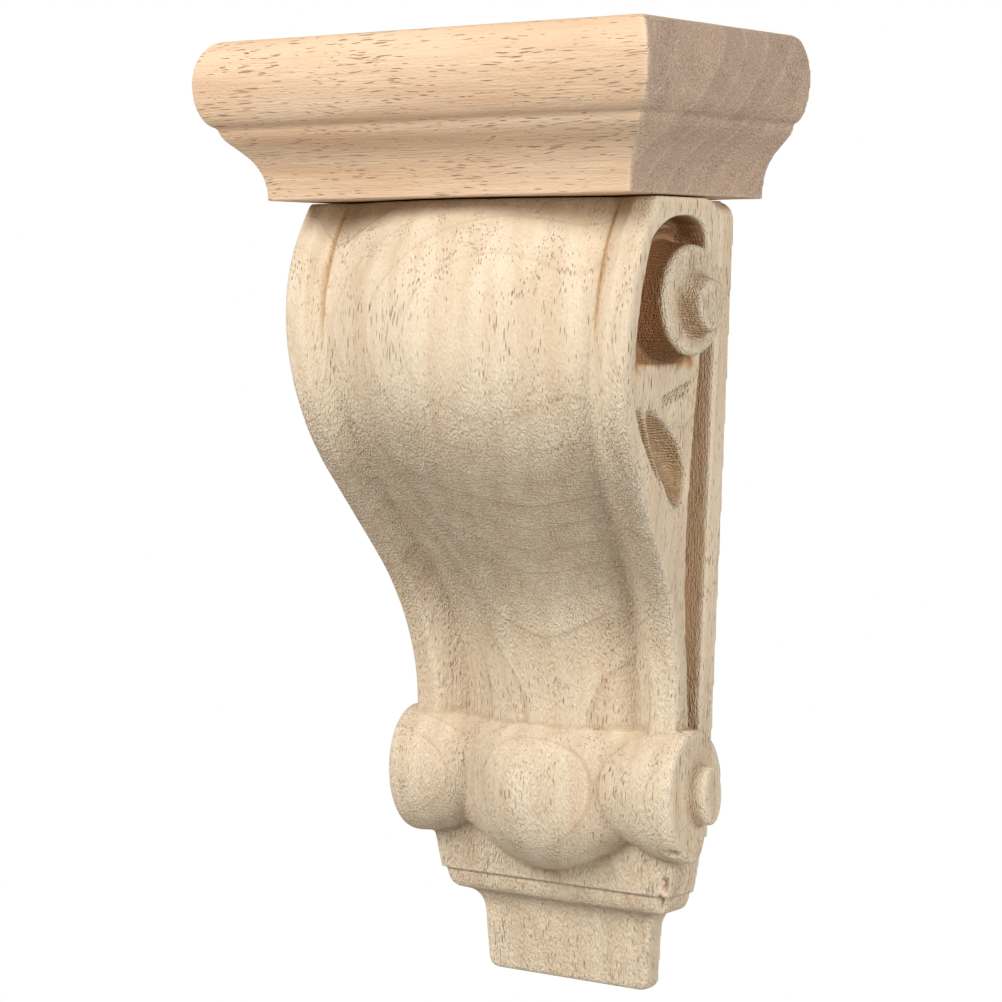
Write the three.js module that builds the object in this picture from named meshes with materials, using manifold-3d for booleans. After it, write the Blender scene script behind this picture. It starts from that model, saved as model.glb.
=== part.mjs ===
// Carved wood corbel: a moulded cap on a scroll bracket with volute eyes, a lower roll, a bell and a foot.
// Millimetres. X is the width, the front faces -Y, the back lies on Y = 0, +Z is up.
// Depths are written as distances in front of the wall, heights as distances above the foot's underside.
import * as THREE from "three";
import { mergeVertices } from "three/addons/utils/BufferGeometryUtils.js";
import Module from "manifold-3d";

const wasm = await Module();
wasm.setup();

// Driving dimensions
const bodyHeight = 166.8;
const capHeight = 32.9;
const seatGap = 0.3;
const mountHeight = 100;

// Cap: the rectangle at its underside, and its moulding as projections beyond that rectangle
const capWidth = 90.8;
const capDepth = 49.3;
const capFillet = 2.6;
const capStep = 7.3;
const capStepHeight = 15;
const capNose = 11.1;
const capNoseHeight = 24;
const capTopSetback = 4.9;
const capEase = 0.4;
const cymaLean = 1.4;

// Back plate
const plateThickness = 5.5;
const plateTopWidth = 77.2;
const plateFootWidth = 66;
const plateFootHeight = 34;
const plateCorner = 4.5;

// Scroll front seen from the side: an arc over the crest, a straight flank and an arc into the neck;
// the shares are of the radius sum at which the two arcs would meet with no flank between them
const crestHeight = 139.1;
const crestDepth = 46.8;
const overCrestRadius = 45.8;
const crestArcShare = 0.4464;
const neckHeight = 60.1;
const neckDepth = 14.2;
const neckArcShare = 0.491;

// Scroll seen from the front
const scrollTopWidth = 88.4;
const scrollNeckWidth = 67.4;
const rimBead = 1.5;
const rimFlatShare = 0.5;
const coveTurn = 1.6;
const coveInsetTop = 10.5;
const coveInsetNeck = 12.2;
const coveDepthTop = 2.3;
const coveDepthNeck = 3.4;
const bulgeTop = 5.6;
const bulgeNeck = 4.2;
const bulgeStart = 1.3;
const bulgeFullness = 2.4;
const taperHead = 9;
const taperFoot = 5;

// Side panels and the groove between them and the back plate
const panelRecess = 7;
const panelNeckRecess = 0.5;
const rimStripShare = 0.055;
const stripLean = 0.9;
const stripSlope = 0.8;
const crease = 0.15;
const grooveFloorWidth = 57;
const grooveTop = 142;
const grooveTopWidth = 2.5;
const grooveKneeHeight = 87;
const grooveKneeWidth = 5.6;
const grooveFootWidth = 2.9;

// Volute eye with its button, and the block over it
const eyeHeight = 146.5;
const eyeDepth = 23.7;
const eyeRadius = 11.1;
const eyeFlare = 1.2;
const eyeEase = 0.8;
const hollowRadius = 14.6;
const hollowDepth = 1.6;
const buttonDrop = 0.9;
const buttonRadius = 6.3;
const buttonEndRadius = 5;
const buttonLength = 4.4;
const blockRear = 14.8;
const blockCorner = 5;
const archHeight = 163.2;
const archApexDepth = 27;
const archRear = 19;
const archSpringHeight = 156.7;
const archFootHeight = 154.2;
const archBend = 0.64;

// Leaf in the side panel: the rim strip widens below its top until it fills the panel at its foot
const leafTop = 130.5;
const leafFoot = 91.5;
const leafBend = 2.2;

// The two gouges of the leaf, with a soft ridge between them
const frontGouge = {
  radius: 3.9,
  sink: 2.6,
  topHeight: 127,
  tipHeight: 101.5,
  topDepth: 31.5,
  tipDepth: 18.6,
  bend: 0.9,
};
const rearGouge = {
  radius: 5.3,
  sink: 3.3,
  topHeight: 126.5,
  tipHeight: 102,
  topDepth: 29.5,
  tipDepth: 14.8,
  bend: 2.3,
};
const gougeFullness = 0.6;

// Lower roll, turned with two coves
const rollWidth = 73;
const rollTuck = 5.3;
const tuckStart = 0.3;
const tuckSpan = 0.9;
const rollHeight = 44.8;
const rollDepth = 10.2;
const rollHalfDepth = 10.8;
const rollHalfHeight = 14.8;
const rollTopHeight = 13.3;
const rollTopShare = 0.3;
const rollCoveAt = 21.6;
const rollCoveFrontAt = 17;
const rollCoveBow = 2;
const rollCove = 3.3;
const rollSwell = 4.8;
const rollCuspBend = 1.9;
const rollBellyBend = 1.35;
const rollEase = 1.2;
const rollButtonHeight = 12.4;
const rollButtonWidth = 7.2;
const rollButtonLength = 4.2;
const rollButtonEase = 0.8;

// Bell and foot
const bellTopWidth = 65;
const bellTopDepth = 13.6;
const bellWidth = 59.4;
const bellDepth = 10.3;
const bellHeight = 21.9;
const lipSetback = 1.1;
const lipDepthSetback = 0.7;
const lipStep = 0.3;
const bellHollow = 0.6;
const bellCoveShare = 0.62;
const bellCoveBend = 2.4;
const ovoloHeight = 17.8;
const coveEndHeight = 11.5;
const footTopWidth = 43.2;
const footWidth = 41.8;
const footDepth = 4.6;
const footSetback = 0.3;
const footCorner = 2.2;
const edgeEase = 0.8;

// How far an added piece runs on inside the solid that carries it
const bury = 2;

// How finely the curves are stepped
const scrollStepCount = 44;
const frontStepCount = 15;
const roundStepCount = 28;

const smooth = (from, to, at) => THREE.MathUtils.smoothstep(at, from, to);
const mix = THREE.MathUtils.lerp;

// Closed solids from meshes, and back again
function solid(geometry) {
  const bare = geometry.clone();
  bare.deleteAttribute("normal");
  bare.deleteAttribute("uv");
  const merged = mergeVertices(bare, 1e-4);
  return new wasm.Manifold(new wasm.Mesh({
    numProp: 3,
    vertProperties: new Float32Array(merged.attributes.position.array),
    triVerts: new Uint32Array(merged.index.array),
  }));
}

function bufferGeometry(manifold) {
  const mesh = manifold.getMesh();
  const geometry = new THREE.BufferGeometry();
  geometry.setAttribute("position", new THREE.BufferAttribute(mesh.vertProperties, 3));
  geometry.setIndex(new THREE.BufferAttribute(mesh.triVerts, 1));
  geometry.computeVertexNormals();
  return geometry;
}

// A solid through closed rings of equally many points; each ring is a list of Vector3 that runs
// anticlockwise when it is seen against the direction in which the rings follow each other
function loft(rings, flat) {
  const count = rings[0].length;
  const position = rings.flat().flatMap((p) => [p.x, p.y, p.z]);
  const index = [];
  for (let j = 0; j < rings.length - 1; j++) {
    for (let i = 0; i < count; i++) {
      const a = j * count + i;
      const b = j * count + (i + 1) % count;
      index.push(a, b, b + count, a, b + count, a + count);
    }
  }
  const last = (rings.length - 1) * count;
  for (const [u, v, w] of THREE.ShapeUtils.triangulateShape(rings[0].map(flat), [])) {
    index.push(u, w, v);
  }
  for (const [u, v, w] of THREE.ShapeUtils.triangulateShape(rings.at(-1).map(flat), [])) {
    index.push(last + u, last + v, last + w);
  }
  const geometry = new THREE.BufferGeometry();
  geometry.setAttribute("position", new THREE.Float32BufferAttribute(position, 3));
  geometry.setIndex(index);
  return solid(geometry);
}

const seenFromAbove = (p) => new THREE.Vector2(p.x, p.y);
const seenFromRight = (p) => new THREE.Vector2(p.y, p.z);

function box(x0, x1, front, back, z0, z1) {
  const geometry = new THREE.BoxGeometry(x1 - x0, front - back, z1 - z0);
  geometry.translate((x0 + x1) / 2, -(front + back) / 2, (z0 + z1) / 2);
  return solid(geometry);
}

// A side-view shape drawn in depth and height, as thick as from x0 to x1
function sidePrism(shape, x0, x1, curveSegments) {
  const geometry = new THREE.ExtrudeGeometry(shape, { depth: x1 - x0, bevelEnabled: false, curveSegments });
  geometry.applyMatrix4(new THREE.Matrix4().set(
    0, 0, 1, x0,
    -1, 0, 0, 0,
    0, 1, 0, 0,
    0, 0, 0, 1,
  ));
  return solid(flipped(geometry));
}

// The side view's depth runs against Y, so the faces of what is drawn in it turn over
function flipped(geometry) {
  const bare = geometry.clone();
  bare.deleteAttribute("normal");
  bare.deleteAttribute("uv");
  const merged = mergeVertices(bare, 1e-4);
  const index = merged.index.array;
  for (let i = 0; i < index.length; i += 3) {
    [index[i], index[i + 1]] = [index[i + 1], index[i]];
  }
  return merged;
}

function mirrored(piece) {
  return piece.add(piece.mirror([1, 0, 0]));
}

// A block on the wall with eased front corners: one ring at height z
function blockRing(halfWidth, depth, z, ease) {
  const right = [0, 1, 2].map((i) => {
    const turn = i * Math.PI / 4;
    return [halfWidth - ease * (1 - Math.sin(turn)), depth - ease * (1 - Math.cos(turn))];
  });
  const corners = [...right, [halfWidth, 0]];
  const all = [...corners, ...corners.toReversed().map(([x, d]) => [-x, d])];
  return all.map(([x, d]) => new THREE.Vector3(x, -d, z));
}

// Cap
function capProfile() {
  const steps = 6;
  const rows = [[-capEase, 0], [0, capEase], [0, capFillet]];
  for (let i = 1; i <= steps; i++) {
    const t = i / steps;
    rows.push([capStep * smooth(0, 1, t ** cymaLean), mix(capFillet, capStepHeight, t)]);
  }
  const noseBelow = capNoseHeight - capStepHeight;
  for (let i = 1; i <= steps; i++) {
    const turn = i / steps * Math.PI / 2;
    rows.push([
      capStep + (capNose - capStep) * Math.sin(turn),
      capStepHeight + noseBelow * (1 - Math.cos(turn)),
    ]);
  }
  const noseAbove = capHeight - capNoseHeight;
  for (let i = 1; i <= steps; i++) {
    const turn = i / steps * Math.PI / 2;
    rows.push([
      capNose - capTopSetback * (1 - Math.cos(turn)),
      capNoseHeight + noseAbove * Math.sin(turn),
    ]);
  }
  return rows;
}

function makeCap() {
  const under = bodyHeight + seatGap;
  const rings = capProfile().map(([out, up]) =>
    blockRing(capWidth / 2 + out, capDepth + out, under + up, capEase));
  return loft(rings, seenFromAbove);
}

// Scroll
const rise = crestHeight - neckHeight;
const fall = crestDepth - neckDepth;
const fullRadii = (rise ** 2 + fall ** 2) / (2 * fall);
const underCrestRadius = crestArcShare * fullRadii;
const neckRadius = neckArcShare * fullRadii;
const radii = underCrestRadius + neckRadius;
const flankLean = Math.asin(radii / Math.hypot(radii - fall, rise)) - Math.atan2(radii - fall, rise);

function rimDepth(z) {
  const above = z - crestHeight;
  const below = -above;
  const overNeck = z - neckHeight;
  if (above >= 0) {
    return crestDepth - overCrestRadius + Math.sqrt(overCrestRadius ** 2 - above ** 2);
  }
  if (below < underCrestRadius * Math.sin(flankLean)) {
    return crestDepth - underCrestRadius + Math.sqrt(underCrestRadius ** 2 - below ** 2);
  }
  if (overNeck <= 0) {
    return neckDepth;
  }
  if (overNeck < neckRadius * Math.sin(flankLean)) {
    return neckDepth + neckRadius - Math.sqrt(neckRadius ** 2 - overNeck ** 2);
  }
  const flankTop = underCrestRadius * Math.sin(flankLean);
  const flankTopDepth = crestDepth - underCrestRadius * (1 - Math.cos(flankLean));
  return flankTopDepth - Math.tan(flankLean) * (below - flankTop);
}

function scrollHalfWidth(z) {
  return mix(scrollNeckWidth, scrollTopWidth, smooth(neckHeight - taperFoot, bodyHeight - taperHead, z)) / 2;
}

// Height of the front's relief over the rims, across the face
function relief(x, z) {
  const half = scrollHalfWidth(z);
  const fromEdge = half - Math.abs(x);
  const up = smooth(neckHeight, crestHeight, z);
  const inset = mix(coveInsetNeck, coveInsetTop, up);
  const cove = mix(coveDepthNeck, coveDepthTop, up);
  if (fromEdge < inset) {
    const down = Math.max(0, (fromEdge / inset - rimFlatShare) / (1 - rimFlatShare));
    return -cove * (1 - (1 - down) ** coveTurn);
  }
  const inward = (fromEdge - inset) / (half - inset);
  const bulge = mix(bulgeNeck, bulgeTop, up);
  return mix(-cove, bulge, 1 - (1 - inward ** bulgeStart) ** bulgeFullness);
}

function recessAt(z) {
  return mix(panelNeckRecess, panelRecess, smooth(neckHeight, crestHeight, z));
}

function grooveRear(z) {
  const knee = plateThickness + grooveKneeWidth;
  if (z > grooveKneeHeight) {
    const t = (z - grooveKneeHeight) / (grooveTop - grooveKneeHeight);
    return mix(knee, plateThickness + grooveTopWidth, Math.min(t, 1));
  }
  const t = (grooveKneeHeight - z) / (grooveKneeHeight - neckHeight);
  return mix(knee, plateThickness + grooveFootWidth, Math.min(t, 1));
}

// Half of the scroll's section at height z, from the middle of the front round to the back
function scrollSection(z) {
  const half = scrollHalfWidth(z);
  const rim = rimDepth(z);
  const rear = grooveRear(z);
  const points = [];
  for (let i = 0; i <= frontStepCount; i++) {
    const x = (half - rimBead) * Math.sin(i / frontStepCount * Math.PI / 2);
    points.push([x, rim + relief(x, z)]);
  }
  for (const turn of [Math.PI / 4, Math.PI / 2]) {
    points.push([
      half - rimBead * (1 - Math.sin(turn)),
      rim - rimBead * (1 - Math.cos(turn)),
    ]);
  }
  const drop = Math.max(0, (leafTop - z) / (leafTop - leafFoot));
  const share = Math.min(1, rimStripShare + (1 - rimStripShare) * drop ** leafBend);
  const recess = recessAt(z);
  const side = rim - rimBead;
  const stripEnd = side - share * (side - rear);
  points.push([half - stripLean * recess * share ** 2, stripEnd]);
  points.push([half - recess, stripEnd - stripSlope * (1 - share) - crease]);
  points.push([half - recess, plateThickness / 2]);
  return points;
}

function makeScroll() {
  const rings = [];
  for (let j = 0; j <= scrollStepCount; j++) {
    const z = mix(rollHeight, bodyHeight, j / scrollStepCount);
    const right = scrollSection(z);
    const left = right.slice(1).toReversed().map(([x, d]) => [-x, d]);
    rings.push([...right, ...left].map(([x, d]) => new THREE.Vector3(x, -d, z)));
  }
  return loft(rings, seenFromAbove);
}

// The block over the eye: the rim's top carried back over an arch and down behind the eye
function makeVoluteBlock() {
  const insideRim = (z) => rimDepth(z) - rimBead - crease;
  const front = insideRim(archFootHeight);
  const outline = new THREE.Shape();
  outline.moveTo(insideRim(bodyHeight), bodyHeight);
  outline.lineTo(blockRear + blockCorner, bodyHeight);
  outline.quadraticCurveTo(blockRear, bodyHeight, blockRear, bodyHeight - blockCorner);
  outline.lineTo(blockRear, eyeHeight);
  outline.lineTo(archRear, eyeHeight);
  outline.lineTo(archRear, archSpringHeight);
  outline.quadraticCurveTo(archRear, archHeight, archApexDepth, archHeight);
  outline.quadraticCurveTo(mix(archApexDepth, front, archBend), archHeight, front, archFootHeight);
  for (const t of [0.25, 0.5, 0.75]) {
    const z = mix(archFootHeight, bodyHeight, t);
    outline.lineTo(insideRim(z), z);
  }
  outline.closePath();
  const inside = scrollTopWidth / 2 - panelRecess - bury;
  return mirrored(sidePrism(outline, inside, scrollTopWidth / 2, 6));
}

// Turned pieces whose axis runs across the width: rows of [x, radius]
function turned(rows, depth, height) {
  const geometry = new THREE.LatheGeometry(rows.map(([x, r]) => new THREE.Vector2(r, x)), roundStepCount);
  geometry.rotateZ(-Math.PI / 2);
  geometry.translate(0, -depth, height);
  return solid(geometry);
}

function makeEye() {
  const face = scrollTopWidth / 2;
  const panel = face - panelRecess - hollowDepth;
  const flareSteps = 4;
  const disc = [[panel - bury, 0], [panel - bury, eyeRadius + eyeFlare]];
  for (let i = 0; i <= flareSteps; i++) {
    const t = i / flareSteps;
    disc.push([mix(panel, face - eyeEase, t), eyeRadius + eyeFlare * (1 - t) ** 2]);
  }
  disc.push([face, eyeRadius - eyeEase], [face, 0]);
  const button = [
    [face - bury, 0],
    [face - bury, buttonRadius],
    [face, buttonRadius],
    [face + buttonLength, buttonEndRadius],
    [face + buttonLength, 0],
  ];
  return mirrored(turned(disc, eyeDepth, eyeHeight)
    .add(turned(button, eyeDepth, eyeHeight - buttonDrop)));
}

// A shallow dish round the eye, below the panel's face
function makeEyeHollow() {
  const panel = scrollTopWidth / 2 - panelRecess;
  return mirrored(turned([
    [panel - hollowDepth, 0],
    [panel - hollowDepth, hollowRadius - hollowDepth],
    [panel, hollowRadius],
    [panel + panelRecess, hollowRadius],
    [panel + panelRecess, 0],
  ], eyeDepth, eyeHeight));
}

function makeGroove() {
  const outline = new THREE.Shape();
  const rows = [rollHeight, neckHeight, grooveKneeHeight, grooveTop];
  outline.moveTo(plateThickness, rows[0]);
  rows.forEach((z) => outline.lineTo(grooveRear(z), z));
  outline.lineTo(plateThickness, grooveTop);
  outline.closePath();
  return mirrored(sidePrism(outline, grooveFloorWidth / 2, scrollTopWidth, 2));
}

// One gouge is a pointed, bowed spindle sunk into the panel from its tip up to its top end
function makeGouge(gouge) {
  const rings = [];
  const steps = 10;
  const sides = 12;
  for (let j = 0; j <= steps; j++) {
    const t = j / steps;
    const z = mix(gouge.tipHeight, gouge.topHeight, t);
    const radius = Math.max(crease, gouge.radius * Math.sin(Math.PI * t) ** gougeFullness);
    const x = scrollHalfWidth(z) - recessAt(z) + gouge.radius - gouge.sink;
    const depth = mix(gouge.tipDepth, gouge.topDepth, t ** gouge.bend);
    const ring = [];
    for (let i = 0; i < sides; i++) {
      const turn = i / sides * 2 * Math.PI;
      ring.push(new THREE.Vector3(x + radius * Math.cos(turn), -depth + radius * Math.sin(turn), z));
    }
    rings.push(ring);
  }
  return mirrored(loft(rings, seenFromAbove));
}

// Lower roll
function rollOffset(x, coveAt) {
  const at = Math.abs(x);
  const half = rollWidth / 2;
  const shoulder = half - 2 * rollEase;
  if (at > shoulder) {
    const t = (at - shoulder) / (half - shoulder);
    return -rollEase * (1 - Math.sqrt(1 - t * t));
  }
  if (at > coveAt) {
    return -rollCove * ((shoulder - at) / (shoulder - coveAt)) ** rollCuspBend;
  }
  return mix(-rollCove, rollSwell, (1 - (at / coveAt) ** rollCuspBend) ** rollBellyBend);
}

// An oval ring; its offset may depend on how far a point of it faces the front
function rollRing(x, offsetAt, halfDepth, halfHeight, topHeight, tuck) {
  const ring = [];
  for (let i = 0; i < roundStepCount; i++) {
    const turn = i / roundStepCount * 2 * Math.PI;
    const back = Math.cos(turn);
    const up = Math.sin(turn);
    const offset = offsetAt(Math.max(0, -back));
    const tucked = halfDepth - tuck * smooth(0, tuckSpan, tuckStart - up);
    const reach = up > 0 ? topHeight + rollTopShare * offset : halfHeight + offset;
    ring.push(new THREE.Vector3(
      x,
      -rollDepth + (back > 0 ? tucked + offset : halfDepth + offset) * back,
      rollHeight + reach * up,
    ));
  }
  return ring;
}

function makeRoll() {
  const half = rollWidth / 2;
  const stations = 32;
  const rings = [];
  for (let i = 0; i <= stations; i++) {
    const t = 2 * i / stations - 1;
    const x = half * Math.sin(t * Math.PI / 2);
    const offsetAt = (front) => rollOffset(x, mix(rollCoveAt, rollCoveFrontAt, front ** rollCoveBow));
    rings.push(rollRing(x, offsetAt, rollHalfDepth, rollHalfHeight, rollTopHeight, rollTuck));
  }
  const end = half + rollButtonLength;
  const high = rollButtonHeight / 2;
  const buttonRows = [[half - bury, 0], [end - rollButtonEase, 0], [end, -rollButtonEase]];
  const button = loft(buttonRows.map(([x, offset]) =>
    rollRing(x, () => offset, rollButtonWidth / 2, high, high, 0)), seenFromRight);
  return loft(rings, seenFromRight).add(mirrored(button));
}

// Bell and foot
function bellRings() {
  const rings = [];
  const rising = 5;
  const steps = 5;
  const footCornerSteps = 4;
  for (let i = 0; i <= footCornerSteps; i++) {
    const turn = i / footCornerSteps * Math.PI / 2;
    rings.push(blockRing(
      footWidth / 2 - footCorner * (1 - Math.sin(turn)),
      footDepth - edgeEase * (1 - Math.sin(turn)),
      footCorner * (1 - Math.cos(turn)),
      edgeEase,
    ));
  }
  const lipWidth = bellWidth / 2 - lipSetback;
  const lipDepth = bellDepth - lipDepthSetback;
  for (let i = 0; i <= steps; i++) {
    const t = i / steps;
    const out = bellCoveShare * (1 - Math.sqrt(1 - t ** bellCoveBend));
    rings.push(blockRing(
      mix(footTopWidth / 2, lipWidth, out),
      mix(footDepth + footSetback, lipDepth, out),
      mix(coveEndHeight, ovoloHeight, t),
      edgeEase,
    ));
  }
  for (let i = 1; i <= steps; i++) {
    const turn = i / steps * Math.PI / 2;
    const out = mix(bellCoveShare, 1, Math.sin(turn));
    rings.push(blockRing(
      mix(footTopWidth / 2, lipWidth, out),
      mix(footDepth + footSetback, lipDepth, out),
      mix(ovoloHeight, bellHeight - lipStep, 1 - Math.cos(turn)),
      edgeEase,
    ));
  }
  for (let i = 0; i <= rising; i++) {
    const t = i / rising;
    const hollow = bellHollow * Math.sin(Math.PI * t);
    rings.push(blockRing(
      mix(bellWidth, bellTopWidth, t) / 2 + hollow,
      mix(bellDepth, bellTopDepth, t) - hollow,
      mix(bellHeight, rollHeight, t),
      edgeEase,
    ));
  }
  return rings;
}

// Back plate, tapering to the roll, with rounded top corners
function makePlate() {
  const top = plateTopWidth / 2;
  const foot = plateFootWidth / 2;
  const outline = new THREE.Shape();
  outline.moveTo(foot, plateFootHeight);
  outline.lineTo(top, bodyHeight - plateCorner);
  outline.quadraticCurveTo(top, bodyHeight, top - plateCorner, bodyHeight);
  outline.lineTo(plateCorner - top, bodyHeight);
  outline.quadraticCurveTo(-top, bodyHeight, -top, bodyHeight - plateCorner);
  outline.lineTo(-foot, plateFootHeight);
  outline.closePath();
  const geometry = new THREE.ExtrudeGeometry(outline, {
    depth: plateThickness,
    bevelEnabled: false,
    curveSegments: 5,
  });
  geometry.rotateX(Math.PI / 2);
  return solid(geometry);
}

function makeBody() {
  const behindWall = box(-capWidth, capWidth, 0, -capDepth, -bodyHeight, 2 * bodyHeight);
  const carved = makeScroll()
    .subtract(makeEyeHollow())
    .add(makeVoluteBlock())
    .subtract(makeGroove())
    .subtract(makeGouge(frontGouge))
    .subtract(makeGouge(rearGouge));
  return carved
    .add(makeEye())
    .add(makePlate())
    .add(makeRoll())
    .add(loft(bellRings(), seenFromAbove))
    .subtract(behindWall);
}

function wood(color, roughness) {
  return new THREE.MeshStandardMaterial({ color, roughness, metalness: 0 });
}

const corbel = new THREE.Group();
corbel.position.z = -mountHeight;

const cap = new THREE.Mesh(bufferGeometry(makeCap()), wood(0xd9b48f, 0.62));
cap.name = "cap";
corbel.add(cap);

const body = new THREE.Mesh(bufferGeometry(makeBody()), wood(0xe6cfae, 0.7));
body.name = "corbel_body";
corbel.add(body);

export default corbel;
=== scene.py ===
# %% [markdown]
# # A carved wood corbel
# The corbel is two pieces of raw hardwood glued together: a moulded cap, cut with its grain along the
# wall, and a carved body with upright grain. This lesson dresses both. The CAD model gives the frame, and
# every piece is made where that frame says, in metres, so nothing has to be fitted afterwards.

# %% Load the frame
import math
import bmesh
import bpy
import numpy as np
from mathutils import Matrix, Vector, noise


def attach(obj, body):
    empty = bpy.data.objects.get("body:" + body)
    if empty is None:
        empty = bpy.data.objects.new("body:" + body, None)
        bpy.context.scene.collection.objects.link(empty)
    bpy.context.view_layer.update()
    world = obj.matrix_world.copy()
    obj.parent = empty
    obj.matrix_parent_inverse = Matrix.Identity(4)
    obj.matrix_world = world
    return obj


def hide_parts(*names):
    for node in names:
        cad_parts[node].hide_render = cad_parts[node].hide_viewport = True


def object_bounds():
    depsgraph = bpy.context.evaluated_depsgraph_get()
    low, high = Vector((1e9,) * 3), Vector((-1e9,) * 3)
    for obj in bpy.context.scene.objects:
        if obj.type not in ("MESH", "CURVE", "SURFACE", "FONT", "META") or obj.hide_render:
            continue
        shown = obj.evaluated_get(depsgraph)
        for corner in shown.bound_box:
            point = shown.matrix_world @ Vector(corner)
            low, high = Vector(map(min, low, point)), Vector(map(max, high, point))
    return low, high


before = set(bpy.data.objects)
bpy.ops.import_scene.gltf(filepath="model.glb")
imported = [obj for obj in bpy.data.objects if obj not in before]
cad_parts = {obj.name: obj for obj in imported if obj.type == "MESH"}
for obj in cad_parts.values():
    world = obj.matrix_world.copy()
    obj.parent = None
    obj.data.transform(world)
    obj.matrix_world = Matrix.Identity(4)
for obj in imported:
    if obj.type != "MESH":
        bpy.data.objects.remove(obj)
cad_box = [list(corner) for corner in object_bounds()]
print("CAD box", [[round(v, 4) for v in corner] for corner in cad_box])

# %% [markdown]
# ## Camera, light and floor
# The camera stands where the photograph was taken: to the right of the corbel's front and almost level
# with it, with a long lens. A pale floor lies well below, because a corbel hangs on a wall, and the world
# is white to the camera. The large soft key lamp stands to the left of the front and higher up, so the
# front is bright and every underside falls into shade. A second one lifts the right side, and a weak one
# hangs overhead.

# %% Camera
eye = bpy.data.cameras.new("camera")
eye.sensor_fit = "HORIZONTAL"
eye.sensor_width = 36
eye.lens = 104.24
camera = bpy.data.objects.new("camera", eye)
bpy.context.collection.objects.link(camera)
right = Vector((0.8103, 0.5861, 0.0)).normalized()
back = Vector((0.5847, -0.8083, 0.0694)).normalized()
turn = Matrix((right, back.cross(right), back)).transposed()
camera.matrix_world = Matrix.LocRotScale(Vector((0.3513, -0.5143, 0.0467)), turn.to_quaternion(), None)
bpy.context.scene.camera = camera
bpy.context.scene.view_settings.view_transform = "Standard"
print("camera", tuple(round(v, 3) for v in camera.location))

# %% Lamps and world
def softbox(name, at, toward, size, power, colour=(1, 1, 1)):
    """A round area lamp, in metres and watts."""
    lamp = bpy.data.lights.new(name, "AREA")
    lamp.shape = "DISK"
    lamp.size = size
    lamp.energy = power
    lamp.color = colour
    holder = bpy.data.objects.new(name, lamp)
    bpy.context.collection.objects.link(holder)
    holder.location = at
    holder.rotation_euler = (Vector(toward) - Vector(at)).to_track_quat("-Z", "Y").to_euler()


softbox("key", (-0.66, -1.2, 0.85), (0, -0.02, 0), size=0.9, power=24.4, colour=(1.0, 0.99, 0.985))
softbox("fill", (1.5, -0.55, 0.35), (0, -0.02, 0), size=0.8, power=19.6, colour=(0.985, 0.99, 1.0))
softbox("top", (0.0, -0.5, 1.6), (0, -0.03, 0), size=0.8, power=6)

world = bpy.data.worlds.new("studio")
bpy.context.scene.world = world
world.use_nodes = True
sky = world.node_tree
sky.nodes.clear()
path = sky.nodes.new("ShaderNodeLightPath")
level = sky.nodes.new("ShaderNodeMapRange")
sky.links.new(path.outputs["Is Camera Ray"], level.inputs["Value"])
level.inputs["To Min"].default_value = 0.15
level.inputs["To Max"].default_value = 1.0
glow = sky.nodes.new("ShaderNodeBackground")
glow.inputs["Color"].default_value = (1, 1, 1, 1)
sky.links.new(level.outputs["Result"], glow.inputs["Strength"])
out = sky.nodes.new("ShaderNodeOutputWorld")
sky.links.new(glow.outputs["Background"], out.inputs["Surface"])

# %% [markdown]
# ## Helpers for node trees
# Both the shapes made by Geometry Nodes and the woods made by shader nodes are built in the script. Three
# helpers keep that short: one places a node and fills or links its inputs, one does a sum, and one spreads
# a range of values over another.

# %% Node helpers
def put(tree, kind, inputs=None, **settings):
    made = tree.nodes.new(kind)
    for name, value in settings.items():
        setattr(made, name, value)
    for name, value in (inputs or {}).items():
        socket = made.inputs[name]
        if isinstance(value, bpy.types.NodeSocket):
            tree.links.new(value, socket)
        else:
            socket.default_value = value
    return made


def maths(tree, operation, a, b=0.0, c=0.0):
    return put(tree, "ShaderNodeMath", {0: a, 1: b, 2: c}, operation=operation).outputs[0]


def spread(tree, value, low, high, to_low=0.0, to_high=1.0):
    made = put(tree, "ShaderNodeMapRange", {
        "Value": value, "From Min": low, "From Max": high, "To Min": to_low, "To Max": to_high,
    })
    return made.outputs["Result"]


# %% [markdown]
# ## The cap's moulding
# On the real corbel the cap is a length of moulding whose profile returns round both ends with mitred
# corners. That is a rule: every level of the cap is the same rectangle, pushed out by what the profile
# says. So a Geometry Nodes tree samples the profile up the height and a unit rectangle round the plan, and
# multiplies the two. The profile is three curve segments: the hollow-and-round ogee, and the nose's lower
# and upper halves, with a small step between ogee and nose.

# %% Cap sizes in millimetres
MM = 0.001
body_height = 166.8
mid_height = 100.0
seat_gap = 0.3
cap = dict(width=90.8, depth=49.3, height=32.9, fillet=2.6, step=7.3, step_at=15.0, nose=11.1,
           nose_at=24.0, setback=4.9, under=body_height + seat_gap - mid_height)

# %% Cap tree
tree = bpy.data.node_groups.new("moulded cap", "GeometryNodeTree")
face = tree.interface
sizes = {}
for name in ("Width", "Depth", "Under", "Height", "Fillet", "Step", "Step At", "Nose", "Nose At", "Setback"):
    sizes[name] = face.new_socket(name=name, in_out="INPUT", socket_type="NodeSocketFloat")
sizes["Wood"] = face.new_socket(name="Wood", in_out="INPUT", socket_type="NodeSocketMaterial")
face.new_socket(name="Geometry", in_out="OUTPUT", socket_type="NodeSocketGeometry")
given = tree.nodes.new("NodeGroupInput").outputs


def corner(x, y):
    return put(tree, "ShaderNodeCombineXYZ", {"X": x, "Y": y}).outputs[0]


def bend(start, start_pull, end_pull, end):
    segment = put(tree, "GeometryNodeCurvePrimitiveBezierSegment", {
        "Resolution": 32, "Start": start, "Start Handle": start_pull, "End Handle": end_pull, "End": end,
    })
    return segment.outputs["Curve"]


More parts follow.
